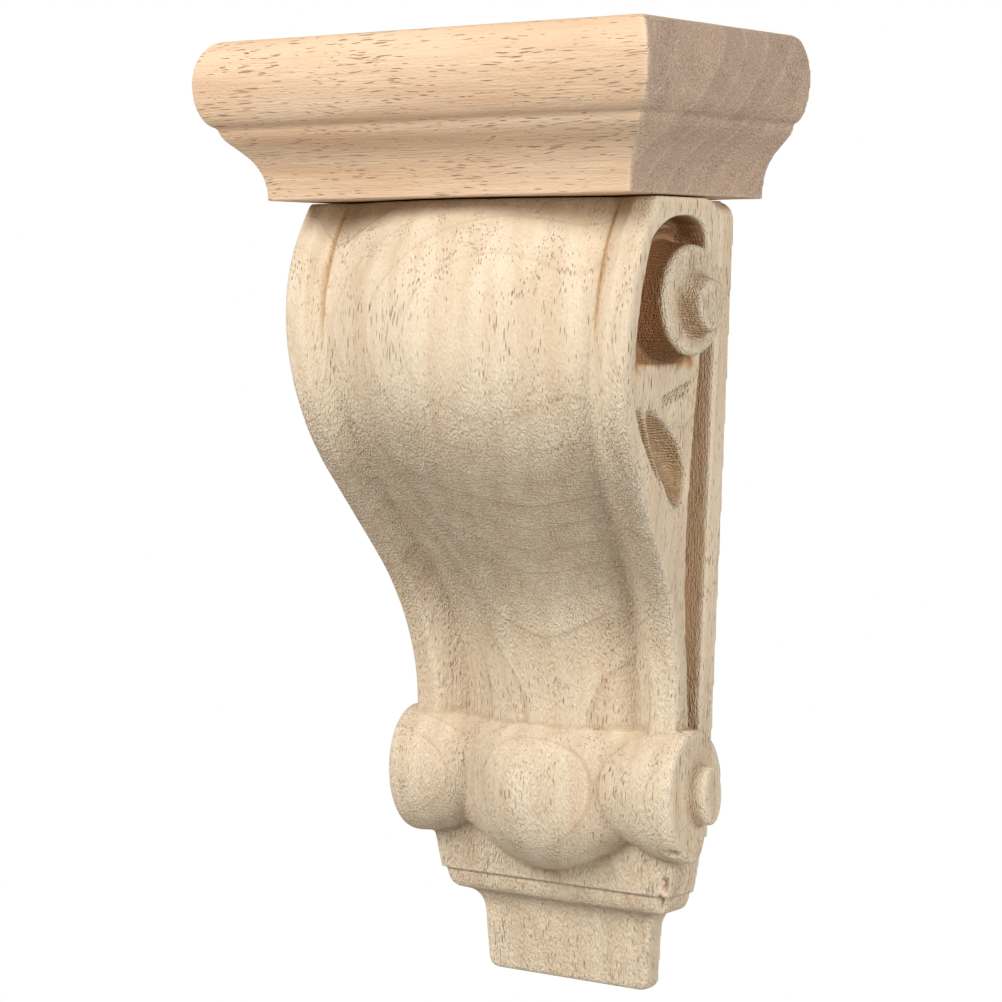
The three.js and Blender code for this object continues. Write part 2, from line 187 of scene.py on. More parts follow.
ogee_rise = maths(tree, "SUBTRACT", given["Step At"], given["Fillet"])
ogee = bend(
    corner(0.0, 0.0),
    corner(0.0, maths(tree, "MULTIPLY_ADD", ogee_rise, 0.62, given["Fillet"])),
    corner(given["Step"], maths(tree, "MULTIPLY_ADD", ogee_rise, -0.34, given["Step At"])),
    corner(given["Step"], given["Step At"]),
)
round_pull = 0.5523
nose_out = maths(tree, "SUBTRACT", given["Nose"], given["Step"])
nose_rise = maths(tree, "SUBTRACT", given["Nose At"], given["Step At"])
nose_low = bend(
    corner(given["Step"], given["Step At"]),
    corner(maths(tree, "MULTIPLY_ADD", nose_out, round_pull, given["Step"]), given["Step At"]),
    corner(given["Nose"], maths(tree, "MULTIPLY_ADD", nose_rise, -round_pull, given["Nose At"])),
    corner(given["Nose"], given["Nose At"]),
)
top_out = maths(tree, "SUBTRACT", given["Nose"], given["Setback"])
top_rise = maths(tree, "SUBTRACT", given["Height"], given["Nose At"])
nose_top = bend(
    corner(given["Nose"], given["Nose At"]),
    corner(given["Nose"], maths(tree, "MULTIPLY_ADD", top_rise, round_pull, given["Nose At"])),
    corner(maths(tree, "MULTIPLY_ADD", given["Setback"], round_pull, top_out), given["Height"]),
    corner(top_out, given["Height"]),
)
profile = tree.nodes.new("GeometryNodeJoinGeometry")
for segment in (nose_top, nose_low, ogee):
    tree.links.new(segment, profile.inputs["Geometry"])
plan = put(tree, "GeometryNodeCurvePrimitiveQuadrilateral", {"Width": 2.0, "Height": 1.0})

levels, steps_round = 171, 241
grid = put(tree, "GeometryNodeMeshGrid", {
    "Size X": 1.0, "Size Y": 1.0, "Vertices X": steps_round, "Vertices Y": levels,
})
place = put(tree, "ShaderNodeSeparateXYZ", {0: tree.nodes.new("GeometryNodeInputPosition").outputs[0]})
along_plan = maths(tree, "ADD", place.outputs["X"], 0.5)
row = maths(tree, "MULTIPLY", maths(tree, "ADD", place.outputs["Y"], 0.5), levels - 1)
along_profile = spread(tree, row, 1.0, levels - 2.0)
on_plan = put(tree, "GeometryNodeSampleCurve", {"Curves": plan.outputs[0], "Factor": along_plan},
              use_all_curves=True)
on_profile = put(tree, "GeometryNodeSampleCurve", {"Curves": profile.outputs[0], "Factor": along_profile},
                 use_all_curves=True)
plan_at = put(tree, "ShaderNodeSeparateXYZ", {0: on_plan.outputs["Position"]})
profile_at = put(tree, "ShaderNodeSeparateXYZ", {0: on_profile.outputs["Position"]})
first = maths(tree, "GREATER_THAN", row, 0.5)
last = maths(tree, "LESS_THAN", row, levels - 1.5)
open_up = maths(tree, "MULTIPLY", first, last)
half_width = maths(tree, "MULTIPLY_ADD", given["Width"], 0.5, profile_at.outputs["X"])
full_depth = maths(tree, "ADD", given["Depth"], profile_at.outputs["X"])
closing = maths(tree, "MULTIPLY", open_up, -1.0)
back_share = maths(tree, "MULTIPLY_ADD", plan_at.outputs["Y"], closing, 0.5)
spot = put(tree, "ShaderNodeCombineXYZ", {
    "X": maths(tree, "MULTIPLY", maths(tree, "MULTIPLY", plan_at.outputs["X"], half_width), open_up),
    "Y": maths(tree, "MULTIPLY", maths(tree, "MULTIPLY", full_depth, back_share), -1.0),
    "Z": maths(tree, "ADD", given["Under"], profile_at.outputs["Y"]),
})
moved = put(tree, "GeometryNodeSetPosition", {"Geometry": grid.outputs["Mesh"], "Position": spot.outputs[0]})
closed = put(tree, "GeometryNodeMergeByDistance", {"Geometry": moved.outputs[0], "Distance": 1e-6})
real = put(tree, "GeometryNodeRealizeInstances", {"Geometry": closed.outputs[0]})
finish = put(tree, "GeometryNodeSetMaterial", {"Geometry": real.outputs[0], "Material": given["Wood"]})
end = tree.nodes.new("NodeGroupOutput")
tree.links.new(finish.outputs[0], end.inputs["Geometry"])
print("cap tree", len(tree.nodes), "nodes")

# %% [markdown]
# ## Turning shapes into solid wood
# A cutter never leaves a perfectly sharp edge in wood, and sanding rounds it further. So each piece is
# first built as exact closed shells, then remeshed into small even faces, relaxed a little, and only then
# marked. Even faces also give the marks of the tools and the chips somewhere to go.

# %% Mesh helpers
def in_frame(points):
    """Rows of x, depth and height in millimetres to metres in the shared frame."""
    points = np.asarray(points, float)
    return np.stack([points[..., 0], -points[..., 1], points[..., 2] - mid_height], -1) * MM


def placed(name, mesh):
    thing = bpy.data.objects.new(name, mesh)
    bpy.context.collection.objects.link(thing)
    return thing


def shell(name, rings):
    """A closed solid through rings of equally many points."""
    rings = np.asarray(rings, float)
    count, around = rings.shape[:2]
    faces = []
    for j in range(count - 1):
        for i in range(around):
            a, b = j * around + i, j * around + (i + 1) % around
            faces.append((a, b, b + around, a + around))
    faces.append(tuple(range(around)))
    faces.append(tuple((count - 1) * around + i for i in range(around)))
    mesh = bpy.data.meshes.new(name)
    mesh.from_pydata(in_frame(rings).reshape(-1, 3).tolist(), [], faces)
    skin = bmesh.new()
    skin.from_mesh(mesh)
    bmesh.ops.recalc_face_normals(skin, faces=skin.faces)
    skin.to_mesh(mesh)
    skin.free()
    return placed(name, mesh)


def applied(thing):
    """Replace a thing's mesh by what its modifiers make of it."""
    graph = bpy.context.evaluated_depsgraph_get()
    made = bpy.data.meshes.new_from_object(thing.evaluated_get(graph), depsgraph=graph)
    thing.modifiers.clear()
    thing.data = made
    return thing


def combine(thing, other, operation):
    cut = thing.modifiers.new("combine", "BOOLEAN")
    cut.operation = operation
    cut.solver = "MANIFOLD"
    cut.object = other
    applied(thing)
    bpy.data.objects.remove(other)
    return thing


def remeshed(thing, size):
    even = thing.modifiers.new("even faces", "REMESH")
    even.mode = "VOXEL"
    even.voxel_size = size
    return applied(thing)


def points_of(mesh):
    at = np.empty(len(mesh.vertices) * 3)
    mesh.vertices.foreach_get("co", at)
    return at.reshape(-1, 3)


def normals_of(mesh):
    at = np.empty(len(mesh.vertices) * 3)
    mesh.vertex_normals.foreach_get("vector", at)
    return at.reshape(-1, 3)


def relaxed(mesh, values, rounds):
    """Values averaged with those of the neighbouring points, a number of times."""
    ends = np.empty(len(mesh.edges) * 2, int)
    mesh.edges.foreach_get("vertices", ends)
    a, b = ends.reshape(-1, 2).T
    count = len(mesh.vertices)
    degree = np.maximum(np.bincount(a, minlength=count) + np.bincount(b, minlength=count), 1)
    values = np.array(values, float)
    columns = values.reshape(count, -1)
    for _ in range(rounds):
        for k in range(columns.shape[1]):
            total = np.bincount(a, columns[b, k], count) + np.bincount(b, columns[a, k], count)
            columns[:, k] = (columns[:, k] + total / degree) / 2
    return columns.reshape(values.shape)


def move_points(mesh, at):
    mesh.vertices.foreach_set("co", np.ascontiguousarray(at, dtype=np.float32).ravel())
    mesh.update()


def thinned(thing, most):
    triangles = sum(len(p.vertices) - 2 for p in thing.data.polygons)
    if triangles > most:
        thin = thing.modifiers.new("fewer faces", "DECIMATE")
        thin.ratio = most / triangles
        applied(thing)
    return thing


def painted(mesh, name, values):
    """Store one number for every point, for a material to read."""
    layer = mesh.attributes.new(name, "FLOAT", "POINT")
    layer.data.foreach_set("value", np.ascontiguousarray(values, dtype=np.float32))


def smooth(low, high, at):
    t = np.clip((np.asarray(at, float) - low) / (high - low), 0, 1)
    return t * t * (3 - 2 * t)


def mix(a, b, t):
    return a + (b - a) * t


def ripple(points, scale, seed):
    """Soft noise for every point, from -1 to 1, at a scale in millimetres."""
    shift = Vector((seed * 17.3, seed * 5.1, seed * 9.7))
    return np.array([noise.noise(Vector(p) * (1 / (scale * MM)) + shift) for p in points])


face_size = 0.4 * MM
print("faces of", round(face_size / MM, 1), "mm")

# %% [markdown]
# ## The carved body: the scroll
# Seen from the side the scroll's rim is an arc over the crest, a straight flank and an arc into the neck.
# Seen across, the front has a raised rim at each edge, a cove inside it and a broad belly between. One
# section at each height says all of that, and the scroll is the loft through the sections. Carving it by
# formula, as the cutting machine does, keeps the flowing lines true over the whole height.

# %% Scroll sizes: heights above the foot, depths in front of the wall
crest = dict(height=139.1, depth=46.8, over=45.8)
neck = dict(height=60.1, depth=14.2)
top_width, neck_width = 88.4, 67.4
rim_bead = 1.5
roll_height = 44.8
plate = 5.5
panel_recess, neck_recess = 7.0, 0.5
leaf_top, leaf_foot = 130.5, 91.5
knee_height, groove_top = 87, 142
rise, fall = crest["height"] - neck["height"], crest["depth"] - neck["depth"]
full_radii = (rise ** 2 + fall ** 2) / (2 * fall)
under_radius, neck_radius = 0.4464 * full_radii, 0.491 * full_radii
both = under_radius + neck_radius
lean = math.asin(both / math.hypot(both - fall, rise)) - math.atan2(both - fall, rise)
print("flank leans", round(math.degrees(lean), 1), "degrees")


def rim_depth(z):
    """How far the rims stand in front of the wall."""
    z = np.asarray(z, float)
    below = crest["height"] - z
    above_neck = z - neck["height"]
    over = crest["depth"] - crest["over"] + np.sqrt(np.maximum(crest["over"] ** 2 - below ** 2, 0))
    under = crest["depth"] - under_radius + np.sqrt(np.maximum(under_radius ** 2 - below ** 2, 0))
    flank = (crest["depth"] - under_radius * (1 - math.cos(lean))
             - math.tan(lean) * (below - under_radius * math.sin(lean)))
    hollow = neck["depth"] + neck_radius - np.sqrt(np.maximum(neck_radius ** 2 - above_neck ** 2, 0))
    depth = np.where(below <= 0, over, np.where(below < under_radius * math.sin(lean), under, flank))
    depth = np.where(above_neck < neck_radius * math.sin(lean), hollow, depth)
    return np.where(above_neck <= 0, neck["depth"], depth)


def half_width(z):
    return mix(neck_width, top_width, smooth(neck["height"] - 5, body_height - 9, z)) / 2


def relief(x, z):
    """How far the front stands out over the rims."""
    half = half_width(z)
    from_edge = half - np.abs(x)
    up = smooth(neck["height"], crest["height"], z)
    inset, cove, bulge = mix(12.2, 10.5, up), mix(3.4, 2.3, up), mix(4.2, 5.6, up)
    outside = -cove * (1 - (1 - np.clip((from_edge / inset - 0.5) / 0.5, 0, 1)) ** 1.6)
    inward = np.clip((from_edge - inset) / (half - inset), 0, 1)
    return np.where(from_edge < inset, outside, mix(-cove, bulge, 1 - (1 - inward ** 1.3) ** 2.4))


def recess(z):
    """How far the side panel lies behind the rim's side."""
    return mix(neck_recess, panel_recess, smooth(neck["height"], crest["height"], z))


def groove_rear(z):
    """The depth of the groove's front side, where the scroll's side begins."""
    knee = plate + 5.6
    above = mix(knee, plate + 2.5, np.clip((z - knee_height) / (groove_top - knee_height), 0, 1))
    below = mix(knee, plate + 2.9, np.clip((knee_height - z) / (knee_height - neck["height"]), 0, 1))
    return np.where(z > knee_height, above, below)


def scroll_section(z):
    """One level of the scroll: front, bead, the rim's side strip and the panel behind it."""
    half, rim, rear = half_width(z), rim_depth(z), groove_rear(z)
    x = (half - rim_bead) * np.sin(np.linspace(0, 1, 61) * math.pi / 2)
    rows = [(a, b) for a, b in zip(x, rim + relief(x, z))]
    for turn in np.linspace(0, math.pi / 2, 6)[1:]:
        rows.append((half - rim_bead * (1 - math.sin(turn)), rim - rim_bead * (1 - math.cos(turn))))
    drop = max(0.0, (leaf_top - z) / (leaf_top - leaf_foot))
    share = min(1.0, 0.055 + 0.945 * drop ** 2.2)
    side = rim - rim_bead
    strip_end = side - share * (side - rear)
    rows.append((half - 0.9 * recess(z) * share ** 2, strip_end))
    rows.append((half - recess(z), strip_end - 0.8 * (1 - share) - 0.15))
    rows.append((half - recess(z), plate / 2))
    return [(a, b, z) for a, b in rows] + [(-a, b, z) for a, b in rows[:0:-1]]


body = shell("carved_body", [scroll_section(z) for z in np.linspace(roll_height, body_height, 246)])
print("scroll", len(body.data.polygons), "faces")

# %% [markdown]
# ## Eye, arch, groove and leaf
# On each side a flat round eye with a button stands in a hollow under an arch, two long gouges make a leaf
# below it, and a groove runs down behind. The eye and its button are turned shapes, so they are rings of
# circles round a level axis. The hollow, groove and gouges are taken away from the scroll as a cutter
# would, and everything is made on the right and mirrored.

# %% Side pieces
around_steps = 72
panel = top_width / 2 - panel_recess
eye_depth, eye_height, eye_radius = 23.7, 146.5, 11.1
button_height, button_radius = 145.6, 6.3
hollow_radius, hollow_deep = 14.6, 1.6
floor_x = panel - hollow_deep
block_rear, arch_rear, arch_apex = 14.8, 19, 27
arch_top, arch_spring, arch_foot = 163.2, 156.7, 154.2


def circle(x, radius, depth, height, tall=1.0):
    turns = np.linspace(0, 2 * math.pi, around_steps, endpoint=False)
    return [(x, depth + radius * math.cos(t), height + tall * radius * math.sin(t)) for t in turns]


def both_sides(build, operation):
    """Build a shape on the right, and again on the left, and combine both with the body."""
    for side in (1, -1):
        rings = [[(side * x, depth, height) for x, depth, height in ring] for ring in build()]
        combine(body, shell("tool", rings), operation)


def prism(outline, x0, x1):
    return [[(x, depth, height) for depth, height in outline] for x in (x0, x1)]


def eye_hollow():
    rows = [(floor_x, hollow_radius - hollow_deep), (panel, hollow_radius),
            (panel + panel_recess, hollow_radius)]
    return [circle(x, r, eye_depth, eye_height) for x, r in rows]


def curve_through(a, pull, b, steps=12):
    """Points on the bend from a to b that is drawn to the pull point, without a."""
    t = np.linspace(0, 1, steps + 1)[1:, None]
    a, pull, b = map(np.array, (a, pull, b))
    return ((1 - t) ** 2 * a + 2 * t * (1 - t) * pull + t ** 2 * b).tolist()


def arch_block():
    """The block over the eye; its underside is the arch."""
    def inside_rim(z):
        return float(rim_depth(z)) - rim_bead - 0.15
    front, corner_size = inside_rim(arch_foot), 5
    outline = [(inside_rim(body_height), body_height), (block_rear + corner_size, body_height)]
    outline += curve_through((block_rear + corner_size, body_height), (block_rear, body_height),
                             (block_rear, body_height - corner_size))
    outline += [(block_rear, eye_height), (arch_rear, eye_height), (arch_rear, arch_spring)]
    outline += curve_through((arch_rear, arch_spring), (arch_rear, arch_top), (arch_apex, arch_top))
    pull = (mix(arch_apex, front, 0.64), arch_top)
    outline += curve_through((arch_apex, arch_top), pull, (front, arch_foot))
    outline += [(inside_rim(z), z) for z in np.linspace(arch_foot, body_height, 8)[1:-1]]
    return prism(outline, panel - 2, top_width / 2)


def groove():
    levels = (roll_height, neck["height"], knee_height, groove_top)
    outline = [(plate, roll_height)] + [(float(groove_rear(z)), z) for z in levels]
    return prism(outline + [(plate, groove_top)], 28.5, top_width)


def gouge(widest, sink, tip, end, bend_power):
    """A bowed spindle sunk into the panel, from its tip up to its top end (depth, height)."""
    rings = []
    for t in np.linspace(0, 1, 31):
        z = mix(tip[1], end[1], t)
        radius = max(0.15, widest * math.sin(math.pi * t) ** 0.6)
        x = half_width(z) - recess(z) + widest - sink
        depth = mix(tip[0], end[0], t ** bend_power)
        turns = np.linspace(0, 2 * math.pi, 36, endpoint=False)
        rings.append([(x + radius * math.cos(a), depth - radius * math.sin(a), z) for a in turns])
    return rings


def eye_disc():
    """The eye, which flares towards its foot."""
    face, flare = top_width / 2, 1.2
    rows = [(floor_x - 2, 12.3)]
    rows += [(mix(floor_x, face - 0.8, t), eye_radius + flare * (1 - t) ** 2) for t in np.linspace(0, 1, 8)]
    rows += [(face - 0.4, 10.9), (face, 10.3)]
    return [circle(x, r, eye_depth, eye_height) for x, r in rows]


def eye_button():
    face = top_width / 2
    rows = [(face - 2, button_radius), (face, button_radius), (face + 3.9, 5.1), (face + 4.4, 4.6)]
    return [circle(x, r, eye_depth, button_height) for x, r in rows]


both_sides(eye_hollow, "DIFFERENCE")
both_sides(arch_block, "UNION")
both_sides(groove, "DIFFERENCE")
for cut in (dict(widest=3.9, sink=2.6, tip=(18.6, 101.5), end=(31.5, 127), bend_power=0.9),
            dict(widest=5.3, sink=3.3, tip=(14.8, 102), end=(29.5, 126.5), bend_power=2.3)):
    both_sides(lambda: gouge(**cut), "DIFFERENCE")
both_sides(eye_disc, "UNION")
both_sides(eye_button, "UNION")
print("with its sides", len(body.data.polygons), "faces")

# %% [markdown]
# ## Roll, bell, foot and back plate
# Under the neck lies a roll that looks turned: a swelling belly between two coves, with a small oval
# button at each end. Below it the bell narrows to a lip and a hollow, and a plain square foot ends the
# corbel. The roll is lofted sideways through ovals, the bell upwards through rectangles with eased
# corners, and the back plate closes everything behind. A last cut takes away what lies behind the wall's
# plane, so the back is dead flat.

# %% Lower pieces
roll_half, roll_depth, roll_cove, roll_swell = 36.5, 10.2, 3.3, 4.8
cove_at_side, cove_at_front = 21.6, 17.0
lip_height = 21.9


def roll_offset(x, cove_at):
    """How far the roll's ovals grow at x, with the cove's bottom at a given x."""
    at, ease, cusp = abs(x), 1.2, 1.9
    shoulder = roll_half - 2 * ease
    if at > shoulder:
        t = (at - shoulder) / (roll_half - shoulder)
        return -ease * (1 - math.sqrt(max(0.0, 1 - t * t)))
    if at > cove_at:
        return -roll_cove * ((shoulder - at) / (shoulder - cove_at)) ** cusp
    return mix(-roll_cove, roll_swell, (1 - (at / cove_at) ** cusp) ** 1.35)


def roll_ring(x, offset_at, half_depth, low, high, tuck):
    """An oval ring; its offset may depend on how far a point of it faces the front."""
    ring = []
    for t in np.linspace(0, 2 * math.pi, around_steps * 2, endpoint=False):
        rear, up = math.cos(t), math.sin(t)
        offset = offset_at(max(0.0, -rear))
        reach = half_depth + offset
        if rear > 0:
            reach -= tuck * float(smooth(0, 0.9, 0.3 - up))
        tall = high + 0.3 * offset if up > 0 else low + offset
        ring.append((x, roll_depth - reach * rear, roll_height + tall * up))
    return ring


def roll():
    stations = roll_half * np.sin(np.linspace(-1, 1, 111) * math.pi / 2)

    def offset_for(x):
        return lambda front: roll_offset(x, mix(cove_at_side, cove_at_front, front ** 2))
    return [roll_ring(x, offset_for(x), 10.8, 14.8, 13.3, 5.3) for x in stations]


def roll_button():
    end = roll_half + 4.2
    rows = ((roll_half - 2, 0), (end - 0.8, 0), (end - 0.2, -0.3), (end, -0.8))
    return [roll_ring(x, lambda front, same=offset: same, 3.6, 6.2, 6.2, 0) for x, offset in rows]


def block_ring(half, depth, z, ease=0.8):
    """A level rectangle against the wall with eased front corners."""
    turns = np.linspace(0, math.pi / 2, 6)
    rows = [(half - ease * (1 - math.sin(t)), depth - ease * (1 - math.cos(t))) for t in turns]
    rows.append((half, 0.0))
    return [(a, b, z) for a, b in rows] + [(-a, b, z) for a, b in reversed(rows)]


def bell():
    """Foot, cove, ovolo and bell, from below; each block is half as wide as it says."""
    foot, foot_top, lip = (20.9, 4.6), (21.6, 4.9), (28.6, 9.6)
    bell_foot, bell_top = (29.7, 10.3), (32.5, 13.6)
    foot_corner, cove_foot, ovolo_foot, cove_share = 2.2, 11.5, 17.8, 0.62
    rings = []
    for t in np.linspace(0, math.pi / 2, 9):
        back_by = 1 - math.sin(t)
        rings.append(block_ring(foot[0] - foot_corner * back_by, foot[1] - 0.8 * back_by,
                                foot_corner * (1 - math.cos(t))))

    def flare(out_by, z):
        rings.append(block_ring(mix(foot_top[0], lip[0], out_by), mix(foot_top[1], lip[1], out_by), z))
    for t in np.linspace(0, 1, 14):
        flare(cove_share * (1 - math.sqrt(max(0.0, 1 - t ** 2.4))), mix(cove_foot, ovolo_foot, t))
    for t in np.linspace(0, math.pi / 2, 12)[1:]:
        flare(mix(cove_share, 1, math.sin(t)), mix(ovolo_foot, lip_height - 0.3, 1 - math.cos(t)))
    for t in np.linspace(0, 1, 20):
        hollow = 0.6 * math.sin(math.pi * t)
        rings.append(block_ring(mix(bell_foot[0], bell_top[0], t) + hollow,
                                mix(bell_foot[1], bell_top[1], t) - hollow, mix(lip_height, roll_height, t)))
    return rings


plate_top, plate_foot, plate_foot_height, plate_corner = 38.6, 33.0, 34.0, 4.5


def back_plate():
    top, shoulder = plate_top, body_height - plate_corner
    outline = [(plate_foot, plate_foot_height), (top, shoulder)]
    outline += curve_through((top, shoulder), (top, body_height), (top - plate_corner, body_height))
    outline += [(-x, z) for x, z in reversed(outline)]
    return [[(x, depth, z) for x, z in outline] for depth in (0.0, plate)]


combine(body, shell("tool", back_plate()), "UNION")
combine(body, shell("tool", roll()), "UNION")
both_sides(roll_button, "UNION")
combine(body, shell("tool", bell()), "UNION")
wall = [[(x, depth, z) for x, z in ((-60, -20), (60, -20), (60, 190), (-60, 190))] for depth in (-40.0, 0.0)]
combine(body, shell("tool", wall), "DIFFERENCE")
print("whole body", len(body.data.polygons), "faces")

# %% [markdown]
# ## From exact shells to worked wood
# The body becomes even small faces and is relaxed, which rounds every edge by about half a millimetre.
# Then the marks follow, as small moves along the normals: a hand-sanded waviness, a line scribed over the
# bell's lip, the teeth that a cutter left above the leaf, a low lobe beside them, and four chips where the
# wood has torn, on the right end of the roll and on the right corner of the bell.

# %% Relax and mark the body
def millimetres(mesh):
    at = points_of(mesh)
    return at[:, 0] / MM, -at[:, 1] / MM, at[:, 2] / MM + mid_height


def torn(mesh, centre, radius, deep, seed):
    """A chip: points near the centre sink unevenly."""
    x, depth, z = millimetres(mesh)
    far = np.sqrt(((x - centre[0]) / radius[0]) ** 2 + ((depth - centre[1]) / radius[1]) ** 2
                  + ((z - centre[2]) / radius[2]) ** 2)
    near = np.flatnonzero(far < 1.3)
    sink = np.zeros(len(x))
    rough = ripple(points_of(mesh)[near], 0.9, seed)
    sink[near] = deep * smooth(1.25, 0.45, far[near] + 0.45 * rough) * (0.75 + 0.6 * rough)
    return sink


remeshed(body, face_size)
mesh = body.data
move_points(mesh, relaxed(mesh, points_of(mesh), 4))
x, depth, z = millimetres(mesh)
out_by = np.zeros(len(x))
visible = depth > 0.5
out_by[visible] += 0.05 * ripple(points_of(mesh)[visible], 7, 1)
scribed = (depth > 0.6) & (np.abs(x) < 31.5)
out_by -= np.where(scribed, 0.5 * np.clip(1 - np.abs(z - lip_height + 0.15) / 0.45, 0, 1), 0)
on_panel = (np.abs(x) > 33) & (np.abs(x) < 41)
row_height, row_depth, row_fall, row_middle = 127.0, 18.5, 0.32, 17
tooth_step, tooth_rise = 1.15, 0.75
slant = (z - row_height) + row_fall * (depth - row_depth)
band = smooth(1.5, 0.6, np.abs(slant)) * smooth(5.3, 4.2, np.abs(depth - row_middle))
teeth = 0.5 + 0.5 * np.sin(2 * math.pi * (depth + tooth_rise * z) / tooth_step)
lobe = smooth(1.0, 0.5, np.hypot((depth - 14.5) / 5.5, (z - 124) / 3.6))
out_by += np.where(on_panel, 0.35 * lobe - 0.8 * band * teeth, 0)
for centre, radius, deep, seed in (
    ((35.2, 12.8, 59.0), (1.8, 2.0, 1.3), 1.2, 2),
    ((34.8, 16.5, 33.2), (1.5, 1.9, 1.1), 0.9, 5),
    ((27.8, 9.8, 20.2), (1.5, 1.6, 2.4), 1.6, 3),
    ((28.9, 10.7, 24.9), (1.1, 1.0, 1.9), 1.1, 4),
):
    out_by -= torn(mesh, centre, radius, deep, seed)
at = points_of(mesh) + normals_of(mesh) * (out_by * MM)[:, None]
low, high = np.array(cad_box)
move_points(mesh, np.clip(at, low, high))
thinned(body, 190000)
move_points(body.data, np.clip(points_of(body.data), low, high))
print("carved body", len(body.data.polygons), "faces")

# %% [markdown]
# ## What the materials need to know
# Four numbers are stored for every point: how hollow the place is, because painted shade darkens the
# eye's recess, the groove, the leaf's pit and the button's underside to a warm brown; how far an edge
# stands proud, where the wood is made paler, or a crease lies deep, where painted shade darkens it; how
# much the surface cuts across the grain, where the sanded fibres stand up like suede; and how clearly the
# passes of the cutter show.

# %% Paint the masks
def edge_mask(mesh):
    """Convex edges positive, creases negative, about -1 to 1."""
    at = points_of(mesh)
    pull = ((relaxed(mesh, at, 8) - at) * normals_of(mesh)).sum(1)
    return np.clip(-pull / (0.07 * MM), -1, 1)


mesh = body.data
x, depth, z = millimetres(mesh)
wide = np.abs(x)
from_eye = np.hypot(depth - eye_depth, z - eye_height)
# Painted shade: the hollow mask marks the eye's recess, the groove, the leaf's pit and the button's
# underside, where shade falls.
in_eye = smooth(24, 21, from_eye) * smooth(43.4, 42.6, wide) * (from_eye > 9.5)
in_eye *= smooth(133.2, 133.9, z) * smooth(11.0, 12.5, depth) * (wide > 34)
in_eye *= smooth(1.6, 2.6, rim_depth(z) - depth)
plate_edge = mix(plate_foot, plate_top, (z - plate_foot_height) / (body_height - plate_foot_height))
outer = np.where(depth < plate + 0.5, plate_edge, np.minimum(half_width(z) - recess(z), plate_edge))
in_groove = (depth > plate - 0.4) * (depth < groove_rear(z) + 0.3) * (z < groove_top + 0.4) * (z > 50)
in_groove = in_groove * smooth(outer - 0.1, outer - 0.7, wide) * (wide > 28)
in_leaf = smooth(-0.2, -1.4, wide - half_width(z) + recess(z)) * (depth > groove_rear(z) + 0.5)
in_leaf *= (wide > 30) * smooth(101, 104, z) * smooth(129, 126, z) * smooth(3.0, 4.5, rim_depth(z) - depth)
slope = np.abs(normals_of(mesh)[:, 2])
button_side = smooth(44.0, 44.6, wide) * smooth(48.4, 47.8, wide) * (from_eye < 9)
under_button = button_side * smooth(0.3, -0.4, (z - button_height + 0.5 * (eye_depth - depth)) / 6)
painted(mesh, "hollow", np.clip(in_eye + 0.32 * in_groove + 0.4 * in_leaf + 0.3 * under_button, 0, 1))
# The edge mask makes convex edges paler and gives creases painted shade.
painted(mesh, "edge", edge_mask(mesh))
suede = smooth(0.06, 0.55, slope) * smooth(154, 124, z)
suede = np.where(z < 59, np.where(z < 34, 0.55, 0.3), np.maximum(suede, 0.35 * smooth(80, 60, z)))
suede = np.where((depth < 1) | (wide > 42), 0, suede)
on_eye = smooth(11.8, 10.8, from_eye) * smooth(42, 43, wide)
suede = np.maximum(suede, 0.5 * on_eye)
painted(mesh, "suede", relaxed(mesh, suede, 12))
lined = 0.45 * smooth(0.35, 0.7, slope) * smooth(140, 120, z) * smooth(70, 80, z)
painted(mesh, "lined", relaxed(mesh, np.maximum(lined, np.maximum(in_leaf, under_button)), 4))

# %% [markdown]
# ## Wood that has grown
# Grain is a solid thing, so the pattern is solid too: it is worked out from the object's own coordinates,
# and every carved surface cuts through it as it does in timber. One shader group grows it along Z. It
# gives the growth rings as thin curved sheets round a far pith, a tone for each year, the open vessels as
# thin needles scattered in the wood, the fine fibre, and a slow drift of tone. Both woods use it with
# their own sizes.

# %% Shader group: grown wood
def to_mm(tree, place):
    return put(tree, "ShaderNodeVectorMath", {0: place, "Scale": 1000.0}, operation="SCALE").outputs[0]


grown = bpy.data.node_groups.new("grown wood", "ShaderNodeTree")
face = grown.interface
face.new_socket(name="Place", in_out="INPUT", socket_type="NodeSocketVector")
for name, value in (("Ring Gap", 9.0), ("Pith X", 0.0), ("Pith Y", 98.0), ("Vessel Length", 7.0),
                    ("Vessel Gap", 1.0), ("Vessel Width", 0.2), ("Vessel Share", 0.5)):
    face.new_socket(name=name, in_out="INPUT", socket_type="NodeSocketFloat").default_value = value
for name in ("Ring", "Vessel", "Fibre", "Tone", "Year"):
    face.new_socket(name=name, in_out="OUTPUT", socket_type="NodeSocketFloat")
given = grown.nodes.new("NodeGroupInput").outputs
in_mm = to_mm(grown, given["Place"])


def stretched(tree, place, across, along):
    """The place with millimetres across the grain and along it made into units."""
    gap = put(tree, "ShaderNodeCombineXYZ", {"X": across, "Y": across, "Z": along}).outputs[0]
    return put(tree, "ShaderNodeVectorMath", {0: place, 1: gap}, operation="DIVIDE").outputs[0]


def grainy(tree, place, across, along, detail=1.0):
    where = stretched(tree, place, across, along)
    return put(tree, "ShaderNodeTexNoise", {"Vector": where, "Scale": 1.0, "Detail": detail}).outputs


